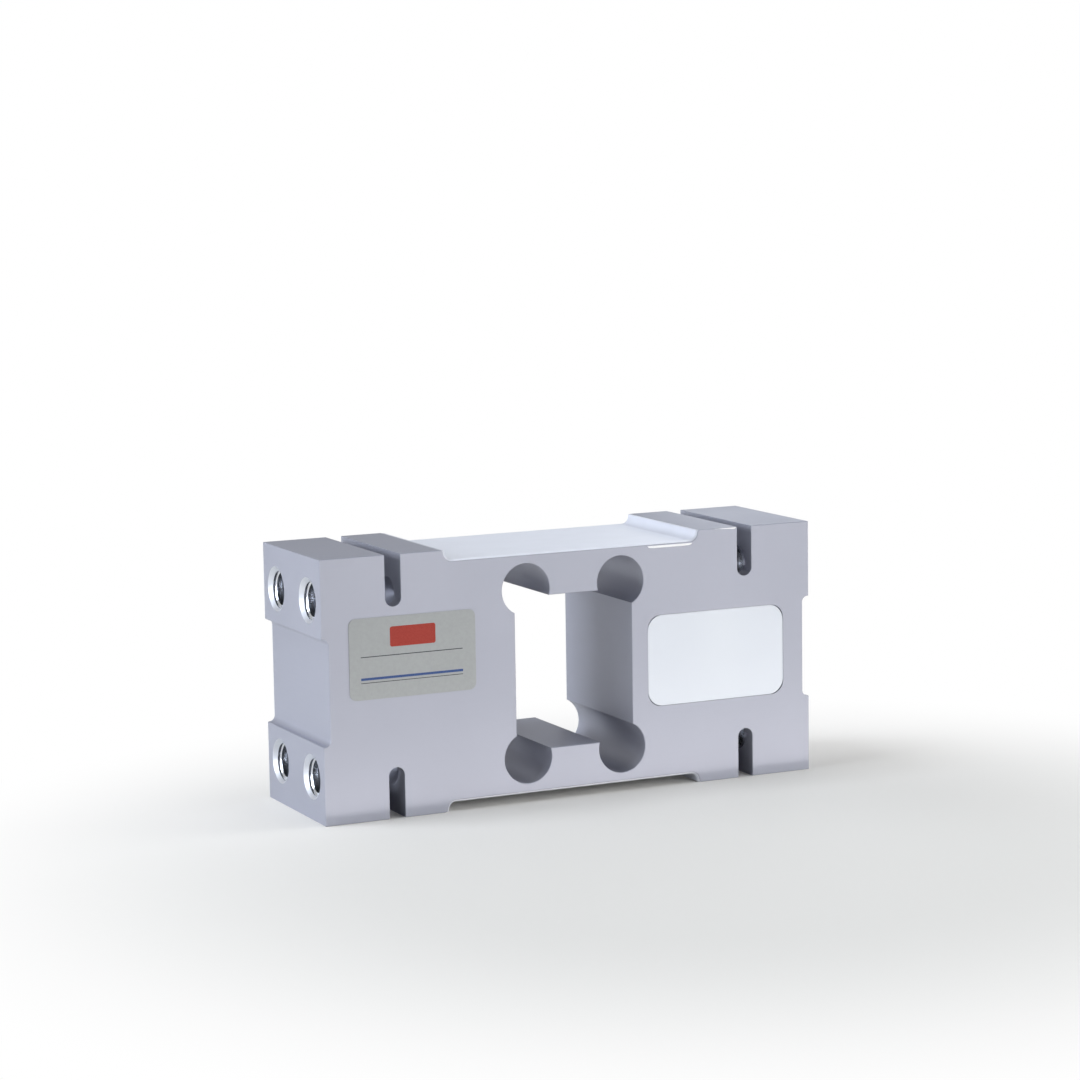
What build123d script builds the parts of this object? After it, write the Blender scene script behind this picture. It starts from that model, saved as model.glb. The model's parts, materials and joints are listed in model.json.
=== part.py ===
from build123d import *
import math
import os

# Single point load cell, in millimetres.
# X runs along the beam, Y from the front face to the back, Z up.
# The origin is the middle of the beam at the level of its bottom pads.

# Spring body: one machined aluminium block
body_length = 191.0
body_width = 54.0
body_height = 92.0
edge_break = 0.2             # deburring chamfer on the outer edges

# Reliefs milled in the top and the bottom, where the strain gauges sit
relief_depth = 4.0
relief_floor_half = 49.2     # half length of the flat floor, to its sharp corner
relief_mouth_half = 49.9     # half length at the level of the pads
relief_fillet = 3.2          # inside corner at the floor
relief_lip_round = 1.0       # outside corner at the pad

# Shallow recesses in both end faces, between the upper and lower pads
end_recess_depth = 2.6
end_recess_half = 18.5       # half height at the mouth
end_recess_fillet = 2.2

# Window with four lobes, which leaves four thin bending webs
window_width = 45.8
lobe_diameter = 18.4
lobe_half_pitch = 18.5       # from the middle of the beam to a lobe's centre
lobe_rise = 2.6              # lobe centre above the window's flat top
web_thickness = 2.9          # metal left between a lobe and the relief floor

# Saw slots that part the clamping pads from the bending part
slot_from_end = 26.75        # end face to slot centre
slot_width = 6.0
slot_depth = 18.0

# Tapped holes in the end pads, four at each end, held as plain bores: at the M14 thread's
# outer diameter at the left end, and at its root clearance at the right end
left_bore_diameter = 14.0
right_bore_diameter = 14.4
tap_drill_diameter = 12.0
thread_chamfer_diameter = 16.0
hole_pitch_y = 30.0
hole_pitch_z = 61.5
drill_point_angle = 118.0

# Pocket for the bridge wiring, with a ledge for the cover plate near its mouth
window_to_pocket = 6.3       # metal between the window and the pocket's mouth
pocket_to_end = 8.2          # metal between the pocket's mouth and the recessed end face
pocket_height = 33.0
pocket_depth = 14.0
pocket_corner = 5.0
ledge_width = 1.0
cover_thickness = 1.2
cover_set_back = 0.08        # how far the cover lies below the front face
cover_gap = 0.1              # all round the cover
cover_corner = 5.7

# Wire holes from the relief floors to the pocket
wire_hole_diameter = 4.0
wire_hole_from_pocket = 10.8 # left end of the pocket's mouth to hole centre
wire_hole_inset = 7.0        # front face to hole centre

# Cable inlet in the right end face
inlet_bore_diameter = 10.0
inlet_inner_diameter = 6.8
inlet_shoulder = 2.0         # wall left between the stepped bore and the pocket
seal_length = 2.6
cable_diameter = 5.0
bush_clearance = 0.25        # bush bore over the cable diameter, on the radius

# Nameplate on the front face
label_length = 47.3
label_height = 28.3
label_thickness = 0.15
label_corner = 2.5
label_from_end = 10.0        # left end face to the label's edge
label_above_middle = 10.65   # label centre above mid height

# Protective coating over the gauges
coating_thickness = 0.6
coating_stop = 0.1           # coat's edge below the pads
coating_taper = 0.5          # where the coat thins out at the front and back faces
film_room = 0.2              # height of the coat's hollow over films and tracks
wire_room = 0.46             # and over the lead wires
side_room = 0.15             # room left beside what the coat covers

# Foil strain gauges over the webs
gauge_film_length = 13.0
gauge_film_width = 8.0
film_thickness = 0.08
foil_thickness = 0.04
grid_length = 6.0
strand_count = 8
strand_width = 0.35
strand_gap = 0.23
end_loop = 0.6               # length of foil that joins two strands
tab_length = 2.2
tab_width = 1.8

# Wiring film with copper tracks, from the gauges to the wire hole
terminal_gap = 0.8           # between gauge film and wiring film
terminal_length = 4.0
terminal_pad_length = 2.4
terminal_pad_width = 1.8
ribbon_width = 0.6
ribbon_thickness = 0.05
track_width = 0.5
lane_pitch = 0.95            # between neighbouring tracks
film_margin = 0.6            # film beyond the outer tracks
end_pad_length = 1.6
end_pad_width = 0.7
end_pad_from_hole = 3.6      # wire hole's centre to the middle of the end pads

# Lead wires from the end pads through the wire hole to the terminal board
wire_diameter = 0.26
wire_bend = 0.9              # length that a corner of a wire cuts off
wire_drop = 1.5              # straight run below the wire hole
wire_approach = 3.0          # straight run on to a solder pad

# Terminal board in the pocket
board_left_gap = 5.25        # pocket wall to the board's edges
board_right_gap = 6.25
board_side_gap = 3.5
board_thickness = 1.6
bond_thickness = 0.8
bond_margin = 2.0
copper_thickness = 0.04
solder_pad_length = 1.8
pad_row_inset = 2.5          # board edge to the rows of solder pads
first_pad_inset = 5.0        # board's left edge to the first lead pad
lead_pad_pitch = 3.6
cable_pad_count = 5
cable_pad_pitch = 3.6

# Chip resistors on the board
chip_length = 6.3
chip_width = 3.2
chip_thickness = 0.6
chip_cap_length = 0.6        # metal cap round each end
chip_cap_rise = 0.03         # how far the cap stands out from the chip
resistor_column_pitch = 13.0
resistor_row_pitch = 6.0
resistor_shift = 2.5         # resistors' middle left of the board centre

# Compound poured over the board
compound_room = 0.3          # round the board
compound_cover = 2.6         # from the board's face to the compound

# Worked out from the sizes above
front = -body_width / 2
middle = body_height / 2
half_length = body_length / 2
relief_floor = middle - relief_depth
lobe_centre = relief_floor - web_thickness - lobe_diameter / 2
window_height = 2 * (lobe_centre - lobe_rise)
slot_x = half_length - slot_from_end
recess_floor_x = half_length - end_recess_depth
pocket_left = window_width / 2 + window_to_pocket
pocket_right = recess_floor_x - pocket_to_end
pocket_length = pocket_right - pocket_left
pocket_centre_x = (pocket_left + pocket_right) / 2
inner_left = pocket_left + ledge_width
inner_right = pocket_right - ledge_width
inner_top = pocket_height / 2 - ledge_width
pocket_floor = front + pocket_depth
cover_back = front + cover_set_back + cover_thickness
wire_hole_x = pocket_left + wire_hole_from_pocket
wire_hole_y = front + wire_hole_inset
inlet_y = front + pocket_depth / 2
shoulder_x = inner_right + inlet_shoulder
board_left = inner_left + board_left_gap
board_right = inner_right - board_right_gap
board_length = board_right - board_left
board_height = 2 * (inner_top - board_side_gap)
board_x = (board_left + board_right) / 2
board_face = pocket_floor - bond_thickness - board_thickness
copper_face = board_face - copper_thickness
foil_top = film_thickness + foil_thickness
grid_width = strand_count * strand_width + (strand_count - 1) * strand_gap
tab_y = grid_width / 2 - strand_width / 2
terminal_x = gauge_film_length / 2 + terminal_gap + terminal_length / 2
gauge_places = (-lobe_half_pitch, lobe_half_pitch)
end_pad_x = wire_hole_x - end_pad_from_hole


def corners_at(shape, points):
    """The corners of a flat shape that lie nearest to the given points."""
    return [shape.vertices().sort_by_distance((x, z, 0))[0] for x, z in points]


def upright(sketch):
    """A sketch drawn in X and height, stood up at mid height of the beam."""
    return Pos(0, 0, middle) * (Plane.XZ * sketch)


def both_signs():
    """The four sign pairs of a part that is the same in every quarter."""
    return [(sx, sz) for sx in (-1, 1) for sz in (-1, 1)]


def relief_void(side):
    """Section of the relief on one side: floor, sloped end walls and rounded lips.

    It reaches past the pads, whose surface its upper corners follow.
    """
    floor, pad = side * relief_floor, side * middle
    beyond, reach = side * (middle + relief_depth), relief_mouth_half + relief_depth
    shape = make_face(Polyline(
        (-relief_floor_half, floor),
        (relief_floor_half, floor),
        (relief_mouth_half, pad),
        (reach, pad),
        (reach, beyond),
        (-reach, beyond),
        (-reach, pad),
        (-relief_mouth_half, pad),
        close=True,
    ))
    shape = fillet(corners_at(shape, [(sx * relief_floor_half, floor) for sx in (-1, 1)]), relief_fillet)
    return fillet(corners_at(shape, [(sx * relief_mouth_half, pad) for sx in (-1, 1)]), relief_lip_round)


def end_recess_void(sign):
    """Section of the recess in one end face."""
    shape = Pos(sign * half_length, 0) * Rectangle(2 * end_recess_depth, 2 * end_recess_half)
    deep_corners = [(sign * recess_floor_x, sz * end_recess_half) for sz in (-1, 1)]
    return fillet(corners_at(shape, deep_corners), end_recess_fillet)


def slot_void(sx, sz):
    """One slot with its round bottom."""
    radius = slot_width / 2
    centre = middle - slot_depth + radius
    straight = Pos(sx * slot_x, sz * (centre + middle) / 2) * Rectangle(slot_width, middle - centre)
    return straight + Pos(sx * slot_x, sz * centre) * Circle(radius)


def window_void():
    """The window and the four lobes that run into its corners."""
    shape = Rectangle(window_width, window_height)
    for sx, sz in both_signs():
        shape += Pos(sx * lobe_half_pitch, sz * lobe_centre) * Circle(lobe_diameter / 2)
    return shape


def beam_section():
    """The whole section of the spring body, seen from the front."""
    section = Rectangle(body_length, body_height)
    for sign in (-1, 1):
        section -= relief_void(sign)
        section -= end_recess_void(sign)
    for sx, sz in both_signs():
        section -= slot_void(sx, sz)
    return section - window_void()


def tapped_hole(bore_diameter):
    """A through tapped hole along +X from its mouth.

    Past the slot only the tap drill goes on, and its point marks the far wall.
    """
    major, minor = bore_diameter / 2, tap_drill_diameter / 2
    mouth = thread_chamfer_diameter / 2
    near_wall = slot_from_end - slot_width / 2
    far_wall = slot_from_end + slot_width / 2
    point = minor / math.tan(math.radians(drill_point_angle / 2))
    half_section = Polyline(
        (0, 0),
        (0, mouth),
        (mouth - major, major),
        (near_wall, major),
        (near_wall, minor),
        (far_wall, minor),
        (far_wall + point, 0),
        close=True,
    )
    return revolve(make_face(half_section), Axis.X)


def tapped_holes():
    """All eight tapped holes."""
    holes = []
    for sign, diameter in ((-1, left_bore_diameter), (1, right_bore_diameter)):
        cutter = tapped_hole(diameter)
        turn = Rot(0, 0, 180) if sign > 0 else Rot(0, 0, 0)
        for sy, sz in both_signs():
            place = Pos(sign * half_length, sy * hole_pitch_y / 2, middle + sz * hole_pitch_z / 2)
            holes.append(place * turn * cutter)
    return holes


def pocket_block(inset, start, depth):
    """A block with the pocket's outline, made smaller by the inset, from one Y to the back."""
    outline = RectangleRounded(pocket_length - 2 * inset, pocket_height - 2 * inset, pocket_corner - inset)
    return Pos(0, start, 0) * extrude(upright(Pos(pocket_centre_x, 0) * outline), -depth)


def wire_hole(side):
    """The hole that takes the gauge wires from one relief floor to the pocket."""
    height = middle + side * (relief_floor + inner_top) / 2
    return Pos(wire_hole_x, wire_hole_y, height) * Cylinder(wire_hole_diameter / 2, relief_floor - inner_top)


def along_x(start, end, radius):
    """A round bar along X at the height of the cable inlet."""
    bar = Cylinder(radius, end - start, rotation=(0, 90, 0))
    return Pos((start + end) / 2, inlet_y, middle) * bar


def sharp_corners(body):
    """The outer edges that deburring breaks: both face outlines and the corners of the ends.

    The saw slots stay sharp.
    """
    faces = body.faces().sort_by(Axis.Y)
    rims = []
    for edge in faces[0].edges() + faces[-1].edges():
        from_slot = abs(abs(edge.center().X) - slot_x)
        if from_slot > slot_width / 2 + edge_break:
            rims.append(edge)
    for edge in body.edges().filter_by(Axis.Y):
        if math.isclose(abs(edge.center().X), half_length):
            rims.append(edge)
    return rims


def spring_body():
    """The machined block with its slots, window, pocket and holes."""
    body = extrude(upright(beam_section()), body_width / 2, both=True)
    body = chamfer(sharp_corners(body), edge_break)
    body -= pocket_block(0, front, cover_back - front)
    body -= pocket_block(ledge_width, front, pocket_depth)
    for hole in tapped_holes():
        body -= hole
    for side in (-1, 1):
        body -= wire_hole(side)
    body -= along_x(inner_right - inlet_shoulder, shoulder_x, inlet_inner_diameter / 2)
    body -= along_x(shoulder_x, half_length, inlet_bore_diameter / 2)
    return body


def pocket_cover():
    """The plate that closes the pocket, set on the ledge."""
    length, height = pocket_length - 2 * cover_gap, pocket_height - 2 * cover_gap
    outline = Pos(pocket_centre_x, 0) * RectangleRounded(length, height, cover_corner)
    return Pos(0, cover_back, 0) * extrude(upright(outline), cover_thickness)


def nameplate():
    """The printed foil label stuck on the front face."""
    centre_x = -half_length + label_from_end + label_length / 2
    outline = Pos(centre_x, label_above_middle) * RectangleRounded(label_length, label_height, label_corner)
    return Pos(0, front, 0) * extrude(upright(outline), label_thickness)


def coating(side):
    """The coat that follows one relief floor and its end walls up to the lips.

    Its open surface slopes down to a thin rim along the front and the back face.
    """
    void = relief_void(side)
    skin = void - offset(void, -coating_thickness)
    depth = relief_depth - coating_stop
    below_pads = Pos(0, side * (relief_floor + depth / 2)) * Rectangle(body_length, depth)
    coat = extrude(upright(skin & below_pads), body_width / 2 - edge_break, both=True)
    metal = upright(void).edges()
    rims = []
    for face in (coat.faces().sort_by(Axis.Y)[0], coat.faces().sort_by(Axis.Y)[-1]):
        for edge in face.edges():
            place = edge.center()
            to_metal = min(line.distance_to(Vector(place.X, 0, place.Z)) for line in metal)
            if to_metal > coating_thickness * 0.9:
                rims.append(edge)
    return chamfer(rims, coating_taper)


def to_side(part, side):
    """A part built on the top relief floor, or its mirror on the bottom one."""
    on_floor = Pos(0, 0, middle + relief_floor) * part
    return on_floor if side > 0 else mirror(on_floor, about=Plane.XY.offset(middle))


def block(x_range, y_range, z_range):
    """A plain box between the given limits."""
    low = (x_range[0], y_range[0], z_range[0])
    size = [limits[1] - limits[0] for limits in (x_range, y_range, z_range)]
    return Pos(*low) * Box(*size, align=(Align.MIN, Align.MIN, Align.MIN))


def bar(x0, x1, y0, y1):
    """A flat rectangle between two corners."""
    return Pos((x0 + x1) / 2, (y0 + y1) / 2) * Rectangle(abs(x1 - x0), abs(y1 - y0))


def gauge_film(x):
    """Carrier film of one gauge, on the floor at z = 0."""
    return Pos(x, 0, 0) * extrude(Rectangle(gauge_film_length, gauge_film_width), film_thickness)


def gauge_grid(x):
    """Foil grid of one gauge: strands along the beam, joined in turn at their ends."""
    pitch = strand_width + strand_gap
    foil = Sketch()
    for index in range(strand_count):
        y = (index - (strand_count - 1) / 2) * pitch
        foil += Pos(0, y) * Rectangle(grid_length, strand_width)
        if index < strand_count - 1:
            end = (grid_length / 2 - end_loop / 2) * (1 if index % 2 else -1)
            foil += Pos(end, y + pitch / 2) * Rectangle(end_loop, pitch + strand_width)
    for sy in (-1, 1):
        tab_x = grid_length / 2 + tab_length / 2
        foil += Pos(tab_x, sy * tab_y) * Rectangle(tab_length, tab_width)
    return Pos(x, 0, film_thickness) * extrude(foil, foil_thickness)


def ribbons(x):
    """The two flat ribbons that bridge from a gauge's tabs to the wiring film."""
    start = grid_length / 2 + tab_length / 2
    flat = [bar(x + start, x + terminal_x, sy * tab_y - ribbon_width / 2, sy * tab_y + ribbon_width / 2)
            for sy in (-1, 1)]
    return [Pos(0, 0, foil_top) * extrude(shape, ribbon_thickness) for shape in flat]


def lane_y(index):
    """Where a track runs along the beam."""
    return wire_hole_y + (index - 1.5) * lane_pitch


def turn_x(index):
    """Where a track turns from its gauge towards its lane.

    Two tracks leave each gauge, and the second one turns further out, so that none cross.
    """
    return gauge_places[index // 2] + terminal_x + terminal_length / 2 + lane_pitch * (index % 2)


def wiring_outline(margin):
    """Outline of the wiring film on the relief floor, widened by a margin."""
    end = end_pad_x + end_pad_length / 2 + margin
    shape = bar(turn_x(0) - margin, end, lane_y(0) - margin, lane_y(3) + margin)
    for place in (0, 1):
        first, second = turn_x(2 * place), turn_x(2 * place + 1)
        start = gauge_places[place] + terminal_x - terminal_length / 2
        start += film_margin - margin
        half = tab_y + terminal_pad_width / 2 + margin
        shape += bar(start, second + margin, -half, half)
        shape += bar(first - margin, second + margin, lane_y(0) - margin, half)
    return shape


def wiring_tracks():
    """The copper on the wiring film: terminal pad, track and end pad of each lead."""
    half = track_width / 2
    tracks = []
    for index in range(4):
        y = (1 if index % 2 else -1) * tab_y
        pad_x, turn, lane = gauge_places[index // 2] + terminal_x, turn_x(index), lane_y(index)
        shape = Pos(pad_x, y) * Rectangle(terminal_pad_length, terminal_pad_width)
        shape += bar(pad_x, turn + half, y - half, y + half)
        shape += bar(turn - half, turn + half, lane - half, y + half)
        shape += bar(turn - half, end_pad_x, lane - half, lane + half)
        shape += Pos(end_pad_x, lane) * Rectangle(end_pad_length, end_pad_width)
        tracks.append(Pos(0, 0, film_thickness) * extrude(shape, foil_thickness))
    return tracks


def coat_hollows():
    """The room that the coat leaves over gauges, wiring film and lead wires."""
    shape = wiring_outline(film_margin + side_room)
    for x in gauge_places:
        half_x, half_y = gauge_film_length / 2 + side_room, gauge_film_width / 2 + side_room
        shape += bar(x - half_x, x + terminal_x, -half_y, half_y)
    reach = wire_hole_diameter / 2
    wires = block(
        (end_pad_x - end_pad_length / 2 - side_room, wire_hole_x + reach),
        (lane_y(0) - reach / 2, lane_y(3) + reach / 2),
        (0, wire_room),
    )
    return extrude(shape, film_room) + wires


def wire(points):
    """A six-sided wire along straight runs whose corners are cut off."""
    eased = [Vector(*points[0])]
    for before, corner, after in zip(points, points[1:], points[2:]):
        at = Vector(*corner)
        for other in (before, after):
            eased.append(at + (Vector(*other) - at).normalized() * wire_bend)
    eased.append(Vector(*points[-1]))
    path = Polyline(*eased)
    start = Plane(path @ 0, z_dir=path % 0)
    return sweep(start * RegularPolygon(wire_diameter / 2, 6), path, transition=Transition.RIGHT)


def lead_pad_x(index):
    """Where the solder pad of a lead lies along the board."""
    return board_left + first_pad_inset + index * lead_pad_pitch


def leads():
    """The four lead wires of the top floor, from the end pads to the board.

    The height is counted from the relief floor.
    """
    height = foil_top + wire_diameter / 2
    hole_exit = inner_top - wire_drop - relief_floor
    pad_height = board_height / 2 - pad_row_inset - relief_floor
    return [wire([
        (end_pad_x, lane_y(index), height),
        (wire_hole_x, lane_y(index), height),
        (wire_hole_x, lane_y(index), hole_exit),
        (lead_pad_x(index), board_face - wire_approach, pad_height),
        (lead_pad_x(index), copper_face, pad_height),
    ]) for index in range(4)]


def on_board(sketch, start, thickness):
    """A flat piece drawn in X and height about mid height, from one Y to the front."""
    return Pos(0, start, 0) * extrude(upright(sketch), thickness)


def bond_sheet():
    """Adhesive sheet between the pocket floor and the board."""
    shape = Rectangle(board_length - 2 * bond_margin, board_height - 2 * bond_margin)
    return on_board(Pos(board_x, 0) * shape, pocket_floor, bond_thickness)


def terminal_board():
    """Glass-fibre board in the pocket."""
    shape = Rectangle(board_length, board_height)
    return on_board(Pos(board_x, 0) * shape, pocket_floor - bond_thickness, board_thickness)


def resistor_places():
    """Centres of the four resistors on the board."""
    return [
        (board_x - resistor_shift + sx * resistor_column_pitch / 2, sz * resistor_row_pitch / 2)
        for sx, sz in both_signs()
    ]


def solder_pads():
    """The copper pads on the board's face: leads, resistor ends and cable cores."""
    side = solder_pad_length
    row = board_height / 2 - pad_row_inset
    pads = [Pos(lead_pad_x(index), sz * row) * Rectangle(side, side) for sz in (-1, 1) for index in range(4)]
    for x, z in resistor_places():
        for sx in (-1, 1):
            pads.append(Pos(x + sx * chip_length / 2, z) * Rectangle(side, chip_width + 0.4))
    for index in range(cable_pad_count):
        height = (index - (cable_pad_count - 1) / 2) * cable_pad_pitch
        pads.append(Pos(board_right - pad_row_inset, height) * Rectangle(side, side))
    return [on_board(pad, board_face, copper_thickness) for pad in pads]


def chip_resistor(x, z):
    """A chip resistor with a metal cap round each end, on its two pads."""
    rise = chip_cap_rise
    core = Pos(x, z) * Rectangle(chip_length - chip_cap_length, chip_width)
    chip = on_board(core, copper_face - rise, chip_thickness)
    for sx in (-1, 1):
        cap = Pos(x + sx * (chip_length - chip_cap_length) / 2, z)
        cap *= Rectangle(chip_cap_length, chip_width + 2 * rise)
        chip += on_board(cap, copper_face, chip_thickness + 2 * rise)
    return chip


def board_compound():
    """The compound between board and cover, which leaves room for board and wires."""
    fill = pocket_block(ledge_width, cover_back, pocket_floor - cover_back)
    half_height = board_height / 2 + compound_room
    fill -= block(
        (board_left - compound_room, board_right + compound_room),
        (board_face - compound_cover, pocket_floor),
        (middle - half_height, middle + half_height),
    )
    reach = wire_hole_diameter / 2
    return fill - block(
        (wire_hole_x - reach, lead_pad_x(3) + wire_bend),
        (wire_hole_y - reach, board_face),
        (middle - inner_top, middle + inner_top),
    )


def inlet_seal():
    """Rubber ring that grips the cable, against the shoulder of the inlet."""
    ring = along_x(shoulder_x, shoulder_x + seal_length, inlet_bore_diameter / 2)
    return ring - along_x(shoulder_x, shoulder_x + seal_length, cable_diameter / 2)


def inlet_bush():
    """Brass bush that holds the seal, flush with the recessed end face."""
    start = shoulder_x + seal_length
    bush = along_x(start, recess_floor_x, inlet_bore_diameter / 2)
    return bush - along_x(start, recess_floor_x, cable_diameter / 2 + bush_clearance)


def build_pieces():
    """Every piece by name, as lists of solids."""
    pieces = {
        "spring_body": [spring_body()],
        "nameplate_label": [nameplate()],
        "pocket_cover": [pocket_cover()],
        "board_compound": [board_compound()],
        "terminal_board": [terminal_board()],
        "board_bond_sheet": [bond_sheet()],
        "board_solder_pads": solder_pads(),
        "inlet_seal": [inlet_seal()],
        "inlet_bush": [inlet_bush()],
    }
    names = ("zero_trim", "zero_temperature", "span_trim", "span_temperature")
    for name, (x, z) in zip(names, resistor_places()):
        pieces[name + "_resistor"] = [chip_resistor(x, z)]
    film = extrude(wiring_outline(film_margin), film_thickness)
    hollows, tracks, wires = coat_hollows(), wiring_tracks(), leads()
    for side_name, side in (("top", 1), ("bottom", -1)):
        pieces["gauge_coating_" + side_name] = [coating(side) - to_side(hollows, side)]
        pieces["wiring_film_" + side_name] = [to_side(film, side)]
        pieces["wiring_tracks_" + side_name] = [to_side(track, side) for track in tracks]
        pieces["lead_wires_" + side_name] = [to_side(lead, side) for lead in wires]
        for place_name, x in zip(("left", "right"), gauge_places):
            tag = side_name + "_" + place_name
            pieces["gauge_film_" + tag] = [to_side(gauge_film(x), side)]
            pieces["gauge_grid_" + tag] = [to_side(gauge_grid(x), side)]
            pieces["gauge_ribbons_" + tag] = [to_side(ribbon, side) for ribbon in ribbons(x)]
    return pieces


os.makedirs("parts", exist_ok=True)
for name, solids in build_pieces().items():
    parts = [solid for piece in solids for solid in piece.solids()]
    shape = Compound(children=parts) if len(parts) > 1 else parts[0]
    export_step(shape, os.path.join("parts", name + ".step"))
    print(f"{name}: {len(shape.solids())} solid, {shape.volume:.2f} mm3")
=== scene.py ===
# %% [markdown]
# # A single point load cell
# This notebook dresses a machined aluminium load cell that was built as a CAD model. The CAD
# gives every solid its exact place and size, in metres, with X along the beam, Y from the front
# face to the back and Z up. Here the solids get their finishes, and the few shapes that a CAD
# model leaves out, such as screw threads and print on a label, are worked out with numpy.

# %% Load the fixed frame
import json
import math

import bmesh
import bpy
import numpy as np
from mathutils import Matrix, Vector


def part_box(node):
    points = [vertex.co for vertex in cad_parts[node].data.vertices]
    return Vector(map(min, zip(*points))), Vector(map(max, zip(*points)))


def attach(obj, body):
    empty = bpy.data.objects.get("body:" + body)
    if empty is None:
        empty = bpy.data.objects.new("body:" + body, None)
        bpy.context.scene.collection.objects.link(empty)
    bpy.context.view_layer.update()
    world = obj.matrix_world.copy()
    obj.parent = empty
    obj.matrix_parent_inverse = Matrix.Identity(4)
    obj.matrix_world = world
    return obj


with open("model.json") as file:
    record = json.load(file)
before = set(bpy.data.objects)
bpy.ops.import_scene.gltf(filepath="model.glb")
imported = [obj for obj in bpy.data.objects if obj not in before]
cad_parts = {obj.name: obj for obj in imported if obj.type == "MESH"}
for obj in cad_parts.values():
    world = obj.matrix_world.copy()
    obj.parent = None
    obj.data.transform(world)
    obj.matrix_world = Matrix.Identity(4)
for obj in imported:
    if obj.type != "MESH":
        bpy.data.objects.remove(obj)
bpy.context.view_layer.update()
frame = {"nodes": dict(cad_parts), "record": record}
nodes = frame["nodes"]

# %% [markdown]
# Shapes below are given in millimetres. The beam's own box gives the planes that they start from:
# the level of its middle, the distance to its end faces and the place of its front face.

# %% Where the beam lies
MM = 0.001
body_low, body_high = (np.round(np.array(corner) / MM, 3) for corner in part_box("spring_body"))
MID_HEIGHT = float(body_low[2] + body_high[2]) / 2
HALF_LENGTH = float(body_high[0])
FRONT_FACE = float(body_low[1])
print("middle at", MID_HEIGHT, "mm, end faces at", HALF_LENGTH, "mm, front face at", FRONT_FACE, "mm")

# %% [markdown]
# Colours are easiest to choose as sRGB hex values, as in a paint program, but a renderer works
# with linear light. One function turns the first into the second, so that every colour in this
# file can be read and compared with the real object.


# %% Colours from hex values
def srgb(hex_value):
    """Linear RGBA of an sRGB hex colour: c/12.92 below 0.04045, else ((c + 0.055)/1.055)^2.4."""
    channels = np.array([int(hex_value[i:i + 2], 16) for i in (1, 3, 5)]) / 255
    low = channels / 12.92
    high = ((channels + 0.055) / 1.055) ** 2.4
    return (*np.where(channels <= 0.04045, low, high).tolist(), 1.0)


print("mid grey:", srgb("#808080"))

# %% [markdown]
# A photograph is taken from one place with one lens. The camera's place, turn and focal length
# were found by matching the corners of the beam with their places in the photograph. The lens is
# long, about 100 mm, which is why the far end looks almost as tall as the near one.

# %% The camera
PITCH, YAW, ROLL = 0.1345, 0.4449, -0.0159
EYE = (-0.46894, -0.98381, 0.23634)
FOCAL_PIXELS = 3065.15
FRAME_PIXELS = 1080
SENSOR_MM = 36.0


def camera_axes(pitch, yaw, roll):
    """Rows: the camera's right, down and forward axes, as roll times pitch times yaw."""
    base = np.array([[1, 0, 0], [0, 0, -1], [0, 1, 0]])
    cy, sy = math.cos(yaw), math.sin(yaw)
    cp, sp = math.cos(pitch), math.sin(pitch)
    cr, sr = math.cos(roll), math.sin(roll)
    turn = np.array([[cy, -sy, 0], [sy, cy, 0], [0, 0, 1]])
    tip = np.array([[1, 0, 0], [0, cp, -sp], [0, sp, cp]])
    lean = np.array([[cr, -sr, 0], [sr, cr, 0], [0, 0, 1]])
    return lean @ tip @ base @ turn


right, down, forward = camera_axes(PITCH, YAW, ROLL)
turned = Matrix(np.stack([right, -down, -forward], axis=1).tolist()).to_4x4()
camera_data = bpy.data.cameras.new("camera")
camera_data.sensor_width = SENSOR_MM
camera_data.lens = FOCAL_PIXELS / FRAME_PIXELS * SENSOR_MM
camera = bpy.data.objects.new("camera", camera_data)
camera.matrix_world = Matrix.Translation(EYE) @ turned
bpy.context.scene.collection.objects.link(camera)
bpy.context.scene.camera = camera
print("lens in mm:", round(camera_data.lens, 1))

# %% [markdown]
# A material is a small network of nodes. One helper adds a node, sets its values and makes its
# links, so that each finish below reads as a list of what it is made of. A link is given as the
# socket that it comes from, and anything else is a value.


# %% Helpers for materials
def add(tree, kind, settings=None, **inputs):
    """Adds a node. settings sets its properties; inputs sets or links its sockets by name."""
    node = tree.nodes.new(kind)
    for key, value in (settings or {}).items():
        setattr(node, key, value)
    for key, value in inputs.items():
        socket = node.inputs[int(key[1:])] if key[1:].isdigit() else node.inputs[key.replace("_", " ")]
        if isinstance(value, bpy.types.NodeSocket):
            tree.links.new(value, socket)
        else:
            socket.default_value = value
    return node


def new_material(name):
    """An empty material: its node tree and its Principled BSDF."""
    made = bpy.data.materials.new(name)
    made.use_nodes = True
    return made, made.node_tree, made.node_tree.nodes["Principled BSDF"]


def ramp(tree, factor, stops):
    """A colour ramp from (position, hex colour) pairs."""
    node = add(tree, "ShaderNodeValToRGB", Fac=factor)
    bands = node.color_ramp.elements
    while len(bands) < len(stops):
        bands.new(0.5)
    for band, (position, hex_value) in zip(bands, stops):
        band.position = position
        band.color = srgb(hex_value)
    return node.outputs["Color"]


def surface_place(tree, scale):
    """Object coordinates in metres times a scale for each axis."""
    place = add(tree, "ShaderNodeTexCoord").outputs["Object"]
    return add(tree, "ShaderNodeMapping", Vector=place, Scale=scale).outputs["Vector"]


# %% [markdown]
# The beam is milled from an aluminium bar and then clear anodised, which leaves a satin grey with
# a touch of blue. Milling leaves very fine lines along the tool's path, and etching before the
# anodising turns them into a soft grain. The real grain is about 0.05 mm, too fine for a picture
# of the whole beam, so it is drawn near 0.4 mm, with faint lines of the same width along the beam.
# A slow drift of about 70 mm keeps large faces from looking flat.


# %% Satin anodised aluminium
LINES_PER_METRE = (60, 60, 2600)
GRAINS_PER_METRE = 2500.0
DRIFTS_PER_METRE = 14.0


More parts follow.
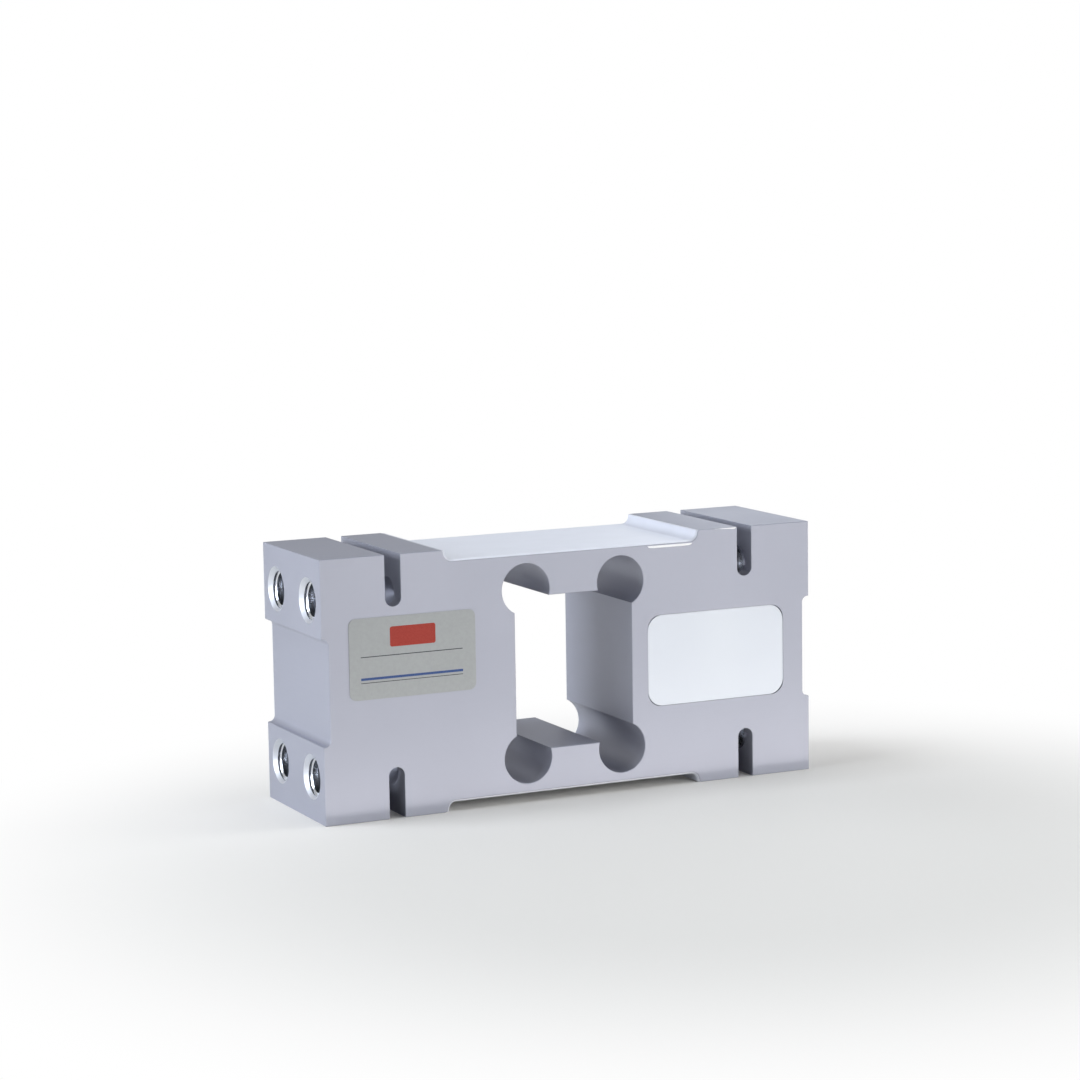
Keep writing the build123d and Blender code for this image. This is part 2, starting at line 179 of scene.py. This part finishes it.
def satin_aluminium():
    """Metal with fine lines in its roughness, lines and grain in its bump, a drift in its colour."""
    made, tree, shader = new_material("satin_aluminium")
    lines = add(tree, "ShaderNodeTexNoise", Vector=surface_place(tree, LINES_PER_METRE),
                Scale=1.0, Detail=3.0, Roughness=0.6)
    grain = add(tree, "ShaderNodeTexNoise", Vector=surface_place(tree, (1, 1, 1)),
                Scale=GRAINS_PER_METRE, Detail=2.0, Roughness=0.5)
    drift = add(tree, "ShaderNodeTexNoise", Vector=surface_place(tree, (1, 1, 1)),
                Scale=DRIFTS_PER_METRE, Detail=2.0, Roughness=0.5)
    colour = ramp(tree, drift.outputs["Fac"], [(0.30, "#A5A7B3"), (0.70, "#AAACB8")])
    rough = add(tree, "ShaderNodeMapRange", Value=lines.outputs["Fac"],
                To_Min=0.40, To_Max=0.50)
    marks = add(tree, "ShaderNodeMath", {"operation": "ADD"},
                _0=lines.outputs["Fac"], _1=grain.outputs["Fac"])
    bump = add(tree, "ShaderNodeBump", Height=marks.outputs["Value"],
               Strength=0.05, Distance=0.0002)
    tree.links.new(colour, shader.inputs["Base Color"])
    tree.links.new(rough.outputs["Result"], shader.inputs["Roughness"])
    tree.links.new(bump.outputs["Normal"], shader.inputs["Normal"])
    shader.inputs["Metallic"].default_value = 0.6
    return made


aluminium = satin_aluminium()
print("made", aluminium.name)

# %% [markdown]
# CAD meshes arrive as loose flat triangles. Merging their corners and then splitting only the
# sharp edges lets round walls shade smoothly while machined corners stay crisp. Both are live
# modifiers, so the CAD mesh itself isn't touched.


# %% Finish a CAD node
CAD_EDGE_DEGREES = 30.0
MERGE_METRES = 1e-6


def sharpen(piece, degrees):
    """Splits a smooth piece where its faces meet at more than the given angle."""
    split = piece.modifiers.new("sharp edges", "EDGE_SPLIT")
    split.split_angle = math.radians(degrees)


def finish_node(name, finish):
    """Gives a CAD node its material and smooth shading between its sharp edges."""
    node = nodes[name]
    node.data.materials.clear()
    node.data.materials.append(finish)
    node.data.polygons.foreach_set("use_smooth", np.ones(len(node.data.polygons), dtype=bool))
    weld = node.modifiers.new("merge corners", "WELD")
    weld.merge_threshold = MERGE_METRES
    sharpen(node, CAD_EDGE_DEGREES)


finish_node("spring_body", aluminium)
print("spring body finished")

# %% [markdown]
# New pieces are grids of points worked out as whole arrays. One helper turns a grid into a mesh,
# joins its ends where it closes on itself, merges the points that meet at a pole, and turns the
# faces outwards.


# %% From a grid of points to a piece
SAME_POINT_METRES = 1e-7


def piece_from_grid(name, points, finish, closed_rows=False, closed_columns=True, smooth=True):
    """points, in mm, has the shape (rows, columns, 3); face (i, j) joins i, i+1 and j, j+1."""
    rows, columns = points.shape[:2]
    i, j = np.meshgrid(
        np.arange(rows if closed_rows else rows - 1),
        np.arange(columns if closed_columns else columns - 1),
        indexing="ij",
    )
    below, beside = (i + 1) % rows, (j + 1) % columns
    corners = [i * columns + j, i * columns + beside, below * columns + beside, below * columns + j]
    faces = np.stack(corners, axis=-1)
    mesh = bpy.data.meshes.new(name)
    mesh.from_pydata((points * MM).reshape(-1, 3).tolist(), [], faces.reshape(-1, 4).tolist())
    work = bmesh.new()
    work.from_mesh(mesh)
    bmesh.ops.remove_doubles(work, verts=work.verts, dist=SAME_POINT_METRES)
    bmesh.ops.recalc_face_normals(work, faces=work.faces)
    work.to_mesh(mesh)
    work.free()
    mesh.polygons.foreach_set("use_smooth", np.full(len(mesh.polygons), smooth))
    mesh.materials.append(finish)
    piece = bpy.data.objects.new(name, mesh)
    bpy.context.scene.collection.objects.link(piece)
    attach(piece, "root")
    return piece


# %% [markdown]
# Eight M14 holes take the mounting bolts. They were drilled and tapped after the anodising, so
# the countersink at each mouth and the thread inside show bright cut metal. The countersink was
# scraped by a slow cutter and is half dull, while the tap left the thread shiny. The cutter's rings
# follow each other about every 0.3 mm along the hole.


# %% Bright cut aluminium
RINGS_PER_METRE = (3500, 500, 500)


def cut_aluminium(name, hex_value, rough_low, rough_high, metallic=1.0):
    """Bare metal with the fine rings that a cutter leaves in its roughness."""
    made, tree, shader = new_material(name)
    rings = add(tree, "ShaderNodeTexNoise", Vector=surface_place(tree, RINGS_PER_METRE),
                Scale=1.0, Detail=2.0, Roughness=0.5)
    rough = add(tree, "ShaderNodeMapRange", Value=rings.outputs["Fac"],
                To_Min=rough_low, To_Max=rough_high)
    bump = add(tree, "ShaderNodeBump", Height=rings.outputs["Fac"], Strength=0.08, Distance=0.00005)
    tree.links.new(rough.outputs["Result"], shader.inputs["Roughness"])
    tree.links.new(bump.outputs["Normal"], shader.inputs["Normal"])
    shader.inputs["Base Color"].default_value = srgb(hex_value)
    shader.inputs["Metallic"].default_value = metallic
    return made


tapped_metal = cut_aluminium("tapped_aluminium", "#E3E5EA", 0.14, 0.22)
countersunk_metal = cut_aluminium("countersunk_aluminium", "#E2E5EC", 0.34, 0.44)
print("made", tapped_metal.name, "and", countersunk_metal.name)

# %% [markdown]
# A metric thread is a 60 degree vee with a flat crest and root that climbs 2 mm each turn. Its
# radius depends only on the phase, which is the depth in turns minus the angle in turns. So the
# rows of the grid are lines of equal phase: each row is a helix, and the corners of the vee lie
# exactly on rows and stay crisp. Held between the mouth and the thread's end, the helices run out
# flat there. Near the mouth the radius is never less than the countersink's cone. Behind the thread
# lies a thin skin along the hole's wall, which the left end holds at 7.0 mm and the right at 7.2 mm.

# %% Screw threads
PITCH_MM = 2.0
VEE_HEIGHT = PITCH_MM * math.sqrt(3) / 2
PITCH_RADIUS = 6.35
CREST_RADIUS = 5.92
MOUTH_RADIUS = 8.0
ROOT_CLEARANCE = 0.08
SKIN = 0.02
HOLE_Y, HOLE_Z = 15.0, 30.75
WALL_RADII = {"left": 7.0, "right": 7.2}
THREAD_END = 23.74
START_ANGLE = 0.6
THREAD_EDGE_DEGREES = 25.0
SIDES = 96
TURNS = math.ceil(THREAD_END / PITCH_MM)
FLAT_STEPS, FLANK_STEPS = 3, 5


def corner_phases(root):
    """Phases of one turn's rows: from the wave 1 - |2p - 1|, where crest and root cut the vee."""
    crest_phase = (0.5 - (PITCH_RADIUS - CREST_RADIUS) / VEE_HEIGHT) / 2
    root_phase = (0.5 - (root - PITCH_RADIUS) / VEE_HEIGHT) / 2
    corners = [-root_phase, root_phase, 0.5 - crest_phase, 0.5 + crest_phase, 1 - root_phase]
    steps = [FLAT_STEPS, FLANK_STEPS, FLAT_STEPS, FLANK_STEPS]
    spans = [np.linspace(low, high, count, endpoint=False)
             for low, high, count in zip(corners, corners[1:], steps)]
    return np.concatenate(spans)


def thread_radius(phase, depth, root):
    """Vee wave of the phase, clipped between crest and root, outside the countersink's cone."""
    wave = np.abs(2 * (phase % 1.0) - 1.0)
    vee = PITCH_RADIUS + (wave - 0.5) * VEE_HEIGHT
    return np.maximum(np.clip(vee, CREST_RADIUS, root), MOUTH_RADIUS - 2 * SKIN - depth)


def threaded_sleeve(name, end, y, z, wall_radius):
    """The thread's surface from the mouth inwards, and back as a thin skin along the hole's wall."""
    root = wall_radius - ROOT_CLEARANCE
    one_turn = corner_phases(root)
    phases = (np.arange(-2, TURNS + 1)[:, None] + one_turn[None, :]).ravel()
    phase, angle = np.meshgrid(phases, np.linspace(0, 2 * math.pi, SIDES + 1), indexing="ij")
    depth = np.clip((phase + angle / (2 * math.pi)) * PITCH_MM, SKIN, THREAD_END)
    inner = thread_radius(depth / PITCH_MM - angle / (2 * math.pi), depth, root)
    back_depth = np.array([THREAD_END, MOUTH_RADIUS - wall_radius, SKIN])[:, None]
    back_radius = np.array([wall_radius, wall_radius, MOUTH_RADIUS - SKIN])[:, None] - SKIN / 2
    depth = np.vstack([depth, np.repeat(back_depth, SIDES + 1, axis=1)])
    angle = np.vstack([angle, angle[:3]]) + START_ANGLE
    radius = np.vstack([inner, np.repeat(back_radius, SIDES + 1, axis=1)])
    x = end * (HALF_LENGTH - depth)
    points = np.stack([x, y + radius * np.cos(angle), MID_HEIGHT + z + radius * np.sin(angle)], axis=-1)
    piece = piece_from_grid(name, points, tapped_metal,
                            closed_rows=True, closed_columns=False)
    mark_countersink(piece.data, y, z)
    sharpen(piece, THREAD_EDGE_DEGREES)
    return piece


def mark_countersink(mesh, y, z):
    """Faces whose centre lies on the mouth's cone take the duller finish."""
    centres = np.empty(3 * len(mesh.polygons))
    mesh.polygons.foreach_get("center", centres)
    centres = centres.reshape(-1, 3) / MM
    depth = HALF_LENGTH - np.abs(centres[:, 0])
    radius = np.hypot(centres[:, 1] - y, centres[:, 2] - MID_HEIGHT - z)
    on_cone = np.abs(radius + depth - MOUTH_RADIUS) < 4 * SKIN
    mesh.materials.append(countersunk_metal)
    mesh.polygons.foreach_set("material_index", on_cone.astype(np.int32))


for end, side in ((-1, "left"), (1, "right")):
    for level, z in (("upper", HOLE_Z), ("lower", -HOLE_Z)):
        for place, y in (("front", -HOLE_Y), ("back", HOLE_Y)):
            sleeve = threaded_sleeve(f"thread_{side}_{level}_{place}", end, y, z, WALL_RADII[side])
print("thread faces each:", len(sleeve.data.polygons))

# %% [markdown]
# The nameplate is a thin metallised foil with an adhesive back. Its print is ink about a hundredth
# of a millimetre thick. Each printed field is its own thin plate just above the foil: a red bar,
# two fine dark rules and a broader blue one.


# %% Nameplate foil
SPECKS_PER_METRE = 900.0
MOTTLES_PER_METRE = 1800.0


def nameplate_foil():
    """Satin foil: a plain grey metal with specks of about 1 mm, dulled by its clear film."""
    made, tree, shader = new_material("nameplate_foil")
    speck = add(tree, "ShaderNodeTexNoise", Vector=surface_place(tree, (1, 1, 1)),
                Scale=SPECKS_PER_METRE, Detail=3.0, Roughness=0.6)
    colour = ramp(tree, speck.outputs["Fac"], [(0.35, "#9C9FA0"), (0.65, "#A0A3A4")])
    bump = add(tree, "ShaderNodeBump", Height=speck.outputs["Fac"], Strength=0.02, Distance=0.0001)
    tree.links.new(colour, shader.inputs["Base Color"])
    tree.links.new(bump.outputs["Normal"], shader.inputs["Normal"])
    shader.inputs["Metallic"].default_value = 0.25
    shader.inputs["Roughness"].default_value = 0.45
    return made


def mottled_finish(name, hex_low, hex_high):
    """A nearly flat colour with a faint mottle of half a millimetre: screen printed ink, set silicone."""
    made, tree, shader = new_material(name)
    mottle = add(tree, "ShaderNodeTexNoise", Vector=surface_place(tree, (1, 1, 1)),
                 Scale=MOTTLES_PER_METRE, Detail=2.0, Roughness=0.5)
    colour = ramp(tree, mottle.outputs["Fac"], [(0.35, hex_low), (0.65, hex_high)])
    tree.links.new(colour, shader.inputs["Base Color"])
    shader.inputs["Roughness"].default_value = 0.5
    shader.inputs["Specular IOR Level"].default_value = 0.3
    return made


finish_node("nameplate_label", nameplate_foil())

# %% The label's printed fields
FOIL_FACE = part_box("nameplate_label")[0][1] / MM
INK_THICKNESS = 0.012
CORNER_STEPS = 8
BAR_X, BAR_Z = -61.8, 17.7
BAR_WIDTH, BAR_HEIGHT, BAR_CORNER = 17.0, 7.0, 0.8
RULE_X, RULE_WIDTH, RULE_CORNER = -62.2, 38.1, 0.1


def rounded_outline(width, height, corner):
    """Points round a rectangle: a quarter circle about each corner's centre in turn."""
    steps = np.linspace(0, math.pi / 2, CORNER_STEPS)
    quarter = np.arange(4)[:, None] * math.pi / 2 + steps[None, :]
    centre_x = (width / 2 - corner) * np.array([1, -1, -1, 1])[:, None]
    centre_z = (height / 2 - corner) * np.array([1, 1, -1, -1])[:, None]
    x = centre_x + corner * np.cos(quarter)
    z = centre_z + corner * np.sin(quarter)
    return x.ravel(), z.ravel()


def printed_field(name, x, z, width, height, corner, ink):
    """A thin plate: outline carried from the foil to the ink's face, closed to a point both ways."""
    outline_x, outline_z = rounded_outline(width, height, corner)
    scale = np.array([0.0, 1.0, 1.0, 0.0])[:, None]
    rise = np.array([0.0, 0.0, INK_THICKNESS, INK_THICKNESS])[:, None]
    points = np.stack([
        x + scale * outline_x[None, :],
        FOIL_FACE - rise + 0 * outline_x[None, :],
        MID_HEIGHT + z + scale * outline_z[None, :],
    ], axis=-1)
    piece_from_grid(name, points, ink, smooth=False)


red_ink = mottled_finish("red_ink", "#9B3025", "#A3382C")
dark_ink = mottled_finish("dark_ink", "#2A2C31", "#33353A")
blue_ink = mottled_finish("blue_ink", "#334A80", "#3A5289")
printed_field("label_red_bar", BAR_X, BAR_Z, BAR_WIDTH, BAR_HEIGHT, BAR_CORNER, red_ink)
for name, z, height, ink in (
    ("label_dark_rule", 11.35, 0.28, dark_ink),
    ("label_blue_rule", 3.7, 0.85, blue_ink),
    ("label_fine_rule", 2.35, 0.22, dark_ink),
):
    printed_field(name, RULE_X, z, RULE_WIDTH, height, RULE_CORNER, ink)
print("label printed at y =", round(FOIL_FACE, 3), "mm")

# %% [markdown]
# The pocket in the front face holds the bridge's wiring and is closed with a pale, flat cover
# that sits a hair below the metal. It looks like satin paint: no grain, a soft even sheen.


# %% Pocket cover
PEELS_PER_METRE = 900.0
COVER_DRIFTS_PER_METRE = 30.0


def cover_paint():
    """Pale satin paint over metal, with an orange peel of about 1 mm that only the gloss shows."""
    made, tree, shader = new_material("satin_cover_paint")
    peel = add(tree, "ShaderNodeTexNoise", Vector=surface_place(tree, (1, 1, 1)),
               Scale=PEELS_PER_METRE, Detail=1.0, Roughness=0.4)
    drift = add(tree, "ShaderNodeTexNoise", Vector=surface_place(tree, (1, 1, 1)),
                Scale=COVER_DRIFTS_PER_METRE, Detail=1.0, Roughness=0.5)
    colour = ramp(tree, drift.outputs["Fac"], [(0.3, "#DDE2EB"), (0.7, "#E1E6EE")])
    bump = add(tree, "ShaderNodeBump", Height=peel.outputs["Fac"], Strength=0.04, Distance=0.0001)
    tree.links.new(colour, shader.inputs["Base Color"])
    tree.links.new(bump.outputs["Normal"], shader.inputs["Normal"])
    shader.inputs["Roughness"].default_value = 0.42
    return made


finish_node("pocket_cover", cover_paint())
print("cover finished")

# %% [markdown]
# A thin coat of pale silicone protects the strain gauges on the floors of the two reliefs. It is
# brushed on, so it is slightly uneven and slightly glossy, with waves of about 15 mm. Towards the
# end walls of the reliefs, its colour is darkened to a grey: painted shade that makes those walls look
# less brightly lit.


# %% Silicone coat
WAVES_PER_METRE = (60, 90, 90)
FLOOR_END, STEEP_START = 44.5, 48.0
# Painted shade: the grey that the coat's colour turns to on the reliefs' end walls.
END_WALL_SHADE = "#E1E1E2"


def silicone_coat():
    """Pale rubber with a faint blue and slow brush waves, and painted shade greying the reliefs' end
    walls.
    """
    made, tree, shader = new_material("silicone_coat")
    waves = add(tree, "ShaderNodeTexNoise", Vector=surface_place(tree, WAVES_PER_METRE),
                Scale=1.0, Detail=1.0, Roughness=0.5)
    colour = ramp(tree, waves.outputs["Fac"], [(0.3, "#EBEEF6"), (0.7, "#EEF1F9")])
    axes = add(tree, "ShaderNodeSeparateXYZ", Vector=surface_place(tree, (1, 1, 1)))
    along = add(tree, "ShaderNodeMath", {"operation": "ABSOLUTE"}, _0=axes.outputs["X"])
    # Painted shade: a mask that grows from the end of the relief floor to the end walls.
    wall_shade_mask = add(tree, "ShaderNodeMapRange", {"interpolation_type": "SMOOTHSTEP"},
                Value=along.outputs["Value"], From_Min=FLOOR_END * MM, From_Max=STEEP_START * MM)
    painted_wall_shade = ramp(tree, wall_shade_mask.outputs["Result"], [(0.0, "#FFFFFF"), (1.0, END_WALL_SHADE)])
    shade = add(tree, "ShaderNodeVectorMath", {"operation": "MULTIPLY"}, _0=colour, _1=painted_wall_shade)
    bump = add(tree, "ShaderNodeBump", Height=waves.outputs["Fac"], Strength=0.08, Distance=0.0004)
    tree.links.new(shade.outputs["Vector"], shader.inputs["Base Color"])
    tree.links.new(bump.outputs["Normal"], shader.inputs["Normal"])
    shader.inputs["Roughness"].default_value = 0.38
    return made


coat = silicone_coat()
finish_node("gauge_coating_top", coat)
finish_node("gauge_coating_bottom", coat)
print("coats finished")

# %% [markdown]
# At the right end of the top relief, a narrow white strip runs along the front face just under the
# relief's edge.
# It is a painted highlight that stands in for the glint of light on that edge. Beside the right slot, a
# thin near-white wedge on the pad's front top edge is a painted glint as well. Both are flattened half
# ellipses carried along a line and drawn in to nothing at the ends: their size follows the root of one
# minus the eighth power of the distance from the middle. The wedge also grows evenly towards the slot and
# hangs from a straight upper edge. Its finish is a nearly white metal that hardly mirrors, so the glint
# is painted into its colour.

# %% The painted glints on the relief's edge and on the pad's edge
# Where the painted highlight along the top relief's front edge lies, in mm.
RELIEF_GLINT_START, RELIEF_GLINT_END = 29.4, 47.6
RELIEF_GLINT_LEVEL, RELIEF_GLINT_HALF_HEIGHT, RELIEF_GLINT_RISE = 41.15, 0.42, 0.12
# Where the painted glint on the right pad's front top edge lies, in mm.
PAD_GLINT_START, PAD_GLINT_END = 56.4, 65.5
PAD_GLINT_LEVEL, PAD_GLINT_HALF_HEIGHT, PAD_GLINT_RISE = 45.58, 0.30, 0.03
PAD_GLINT_TAPER = 0.9
STRIP_SUNK = 0.01
STRIP_ROWS, STRIP_SIDES = 41, 24


def laid_strip(name, start, end, level, half_height, rise, taper, finish):
    """Flattened half-ellipse section times sqrt(1 - t^8) along the run, laid on the front face."""
    along = np.linspace(-1, 1, STRIP_ROWS)
    around = np.linspace(0, 2 * math.pi, STRIP_SIDES, endpoint=False)
    run, turn = np.meshgrid(along, around, indexing="ij")
    size = np.sqrt(np.clip(1 - run ** 8, 0, None)) * (1 - taper * (1 - run) / 2)
    x = (start + end) / 2 + run * (end - start) / 2
    y = FRONT_FACE - rise * size * np.sqrt(np.clip(np.sin(turn), 0, None)) + STRIP_SUNK
    z = MID_HEIGHT + level + half_height * (size * np.cos(turn) + 1 - size)
    piece_from_grid(name, np.stack([x, y, z], axis=-1), finish)


# Painted highlight: a white strip stands in for the glint of light on the top relief's front edge.
relief_glint_white = mottled_finish("painted_relief_glint", "#FBFBFD", "#FFFFFF")
# Painted highlight: a nearly white, hardly mirroring metal paints the glint on the pad's edge.
pad_glint_metal = cut_aluminium("painted_pad_glint", "#FCFCFE", 0.42, 0.52, metallic=0.15)
laid_strip("painted_relief_glint_strip", RELIEF_GLINT_START, RELIEF_GLINT_END, RELIEF_GLINT_LEVEL, RELIEF_GLINT_HALF_HEIGHT, RELIEF_GLINT_RISE, 0.0,
           relief_glint_white)
laid_strip("painted_pad_glint_strip", PAD_GLINT_START, PAD_GLINT_END, PAD_GLINT_LEVEL, PAD_GLINT_HALF_HEIGHT, PAD_GLINT_RISE, PAD_GLINT_TAPER,
           pad_glint_metal)
print("painted relief and pad glints, lengths in mm:", RELIEF_GLINT_END - RELIEF_GLINT_START, PAD_GLINT_END - PAD_GLINT_START)

# %% [markdown]
# The pieces under the coat and behind the cover are sealed away, but each still has its own
# finish: green glass-fibre board, bare copper, amber film, etched foil, black chips and brass.


# %% Finishes inside
def plain_finish(name, low, high, grain_mm, metallic, roughness, bump_strength=0.05):
    """Two close shades mixed by a noise of the given grain, which also gives the bump."""
    made, tree, shader = new_material(name)
    noise = add(tree, "ShaderNodeTexNoise", Vector=surface_place(tree, (1, 1, 1)),
                Scale=1000.0 / grain_mm, Detail=3.0, Roughness=0.55)
    colour = ramp(tree, noise.outputs["Fac"], [(0.35, low), (0.65, high)])
    bump = add(tree, "ShaderNodeBump", Height=noise.outputs["Fac"],
               Strength=bump_strength, Distance=0.0001)
    tree.links.new(colour, shader.inputs["Base Color"])
    tree.links.new(bump.outputs["Normal"], shader.inputs["Normal"])
    shader.inputs["Metallic"].default_value = metallic
    shader.inputs["Roughness"].default_value = roughness
    return made


inside = {
    "glass_fibre_board": plain_finish("green_solder_mask", "#1B5331", "#226039", 1.2, 0.0, 0.35),
    "bond_sheet": plain_finish("foam_bond", "#3A3A3B", "#464647", 0.6, 0.0, 0.9, 0.4),
    "white_compound": plain_finish("cast_silicone", "#DCDEDD", "#E4E6E5", 3.0, 0.0, 0.45),
    "copper_foil": plain_finish("bare_copper", "#C77F5C", "#D18C69", 0.8, 1.0, 0.3),
    "resistor_body": plain_finish("glazed_chip", "#1C1C1E", "#262628", 0.5, 0.0, 0.4),
    "gauge_film": plain_finish("amber_polyimide", "#B4772A", "#C08434", 1.5, 0.0, 0.35),
    "gauge_foil": plain_finish("etched_resistance_foil", "#A8A5A0", "#B4B1AC", 0.4, 1.0, 0.4),
    "lead_wire": plain_finish("enamelled_copper", "#A9552B", "#B8622F", 0.6, 1.0, 0.28),
    "seal_rubber": plain_finish("nitrile_rubber", "#1B1B1C", "#242425", 0.5, 0.0, 0.65, 0.2),
    "bush_brass": plain_finish("turned_brass", "#C9A45C", "#D3AF68", 0.3, 1.0, 0.25),
}
for part in frame["record"]["subparts"]:
    if part["material_slot"] in inside:
        finish_node(part["node"], inside[part["material_slot"]])
print(len(inside), "finishes inside")

# %% [markdown]
# The set is a plain pale floor that fades to white, under a white background. A satin metal shows
# a blurred picture of what stands round it, so the sky that lights it is not the white one that
# the camera sees: it is a soft grey glow behind the beam, which the tops of the pads and the walls
# of the window mirror, and it is dark on the other side, where lamps take its place.


# %% Floor and sky
FADE_CENTRE = (0, -0.12, 0)
FADE_START, FADE_END = 0.10, 0.28
BACK_SKY, BACK_STRENGTH = (-0.2, 0.95, 0.1), 1.08
FLOOR_HALF = 8.0


def pale_floor():
    """Matt pale paint near the beam, turning to plain white light with the distance from it."""
    made, tree, shader = new_material("pale_floor")
    place = add(tree, "ShaderNodeTexCoord").outputs["Object"]
    distance = add(tree, "ShaderNodeVectorMath", {"operation": "DISTANCE"}, _0=place, _1=FADE_CENTRE)
    fade = add(tree, "ShaderNodeMapRange", {"interpolation_type": "SMOOTHSTEP"},
               Value=distance.outputs["Value"], From_Min=FADE_START, From_Max=FADE_END)
    white = add(tree, "ShaderNodeEmission", Color=srgb("#FFFFFF"))
    seen = add(tree, "ShaderNodeLightPath").outputs["Is Camera Ray"]
    share = add(tree, "ShaderNodeMath", {"operation": "MULTIPLY"}, _0=fade.outputs["Result"], _1=seen)
    both = add(tree, "ShaderNodeMixShader", Fac=share.outputs["Value"],
               _1=shader.outputs["BSDF"], _2=white.outputs["Emission"])
    output = next(node for node in tree.nodes if node.type == "OUTPUT_MATERIAL")
    tree.links.new(both.outputs["Shader"], output.inputs["Surface"])
    shader.inputs["Base Color"].default_value = srgb("#EEECE6")
    shader.inputs["Roughness"].default_value = 0.85
    return made


def studio_floor():
    """A wide square at the level of the bottom pads."""
    mesh = bpy.data.meshes.new("studio_floor")
    corners = [(x * FLOOR_HALF, y * FLOOR_HALF, 0) for x, y in ((-1, -1), (1, -1), (1, 1), (-1, 1))]
    mesh.from_pydata(corners, [], [(0, 1, 2, 3)])
    mesh.materials.append(pale_floor())
    floor = bpy.data.objects.new("studio_floor", mesh)
    bpy.context.scene.collection.objects.link(floor)


def studio_sky():
    """White to the camera; as a light, a glow that grows with the direction's lean to the back."""
    world = bpy.data.worlds.new("studio_sky")
    world.use_nodes = True
    tree = world.node_tree
    tree.nodes.clear()
    direction = add(tree, "ShaderNodeTexCoord").outputs["Generated"]
    lean = add(tree, "ShaderNodeVectorMath", {"operation": "DOT_PRODUCT"},
               _0=direction, _1=BACK_SKY)
    glow = add(tree, "ShaderNodeMapRange", {"interpolation_type": "SMOOTHSTEP"},
               Value=lean.outputs["Value"], From_Min=0.0, From_Max=1.0, To_Max=BACK_STRENGTH)
    light = add(tree, "ShaderNodeBackground", Color=srgb("#BCBCBC"), Strength=glow.outputs["Result"])
    backdrop = add(tree, "ShaderNodeBackground", Color=srgb("#FFFFFF"), Strength=1.0)
    seen = add(tree, "ShaderNodeLightPath").outputs["Is Camera Ray"]
    both = add(tree, "ShaderNodeMixShader", Fac=seen, _1=light.outputs[0], _2=backdrop.outputs[0])
    add(tree, "ShaderNodeOutputWorld", Surface=both.outputs[0])
    bpy.context.scene.world = world


studio_floor()
studio_sky()
print("floor fades from", FADE_START, "to", FADE_END, "m")

# %% [markdown]
# Soft lamps stand all round, as in a light tent: large ones in front and at both sides, one behind
# on the left, one high on the left that reaches down the saw slots, one overhead, and a low one
# behind on the right, which the tops of the right pads mirror. A narrow card on the floor in front
# lights the face from below, so that it grows paler downwards. The front and right lamps are
# white, the card is a little warm and the others are a little blue.


# %% Lamps
def soft_lamp(name, place, aim, size, watts, hex_value):
    """A soft lamp at a place, aimed at a point; size is its width and its height."""
    data = bpy.data.lights.new(name, "AREA")
    data.shape = "RECTANGLE"
    data.size, data.size_y = size
    data.energy = watts
    data.color = srgb(hex_value)[:3]
    lamp = bpy.data.objects.new(name, data)
    back = np.array(place, float) - np.array(aim, float)
    back /= np.linalg.norm(back)
    side = np.cross((0.0, 0.0, 1.0), back)
    side /= np.linalg.norm(side)
    axes = Matrix(np.stack([side, np.cross(back, side), back], axis=1).tolist()).to_4x4()
    lamp.matrix_world = Matrix.Translation(place) @ axes
    lamp.visible_camera = False
    bpy.context.scene.collection.objects.link(lamp)


WHITE, PALE_BLUE, PALE_CREAM = "#FFFFFF", "#EFF5FF", "#FFFAF4"
CENTRE = (0, 0, 0.04)
soft_lamp("front_lamp", (0.9, -1.9, 0.5), CENTRE, (1.2, 1.2), 16.7, WHITE)
soft_lamp("right_lamp", (1.8, -0.5, 0.5), CENTRE, (1.0, 1.0), 21.5, WHITE)
soft_lamp("left_lamp", (-1.9, -0.2, 0.5), CENTRE, (1.0, 1.0), 13.6, PALE_BLUE)
soft_lamp("left_back_lamp", (-1.8, 0.6, 0.4), CENTRE, (0.8, 0.8), 19.0, PALE_BLUE)
soft_lamp("upper_left_lamp", (-0.7, 0.1, 1.4), CENTRE, (0.6, 0.6), 8.8, PALE_BLUE)
soft_lamp("top_lamp", (0.5, -0.3, 1.7), CENTRE, (0.9, 0.9), 4.2, PALE_BLUE)
soft_lamp("rim_lamp", (0.74, 0.84, 0.28), (0.08, 0, 0.09), (0.5, 0.5), 1.1, PALE_BLUE)
soft_lamp("front_card", (0, -0.07, 0.003), (0, -0.06, 1), (0.36, 0.08), 0.066, PALE_CREAM)
bpy.context.scene.view_settings.view_transform = "Standard"
print("lamps ready")
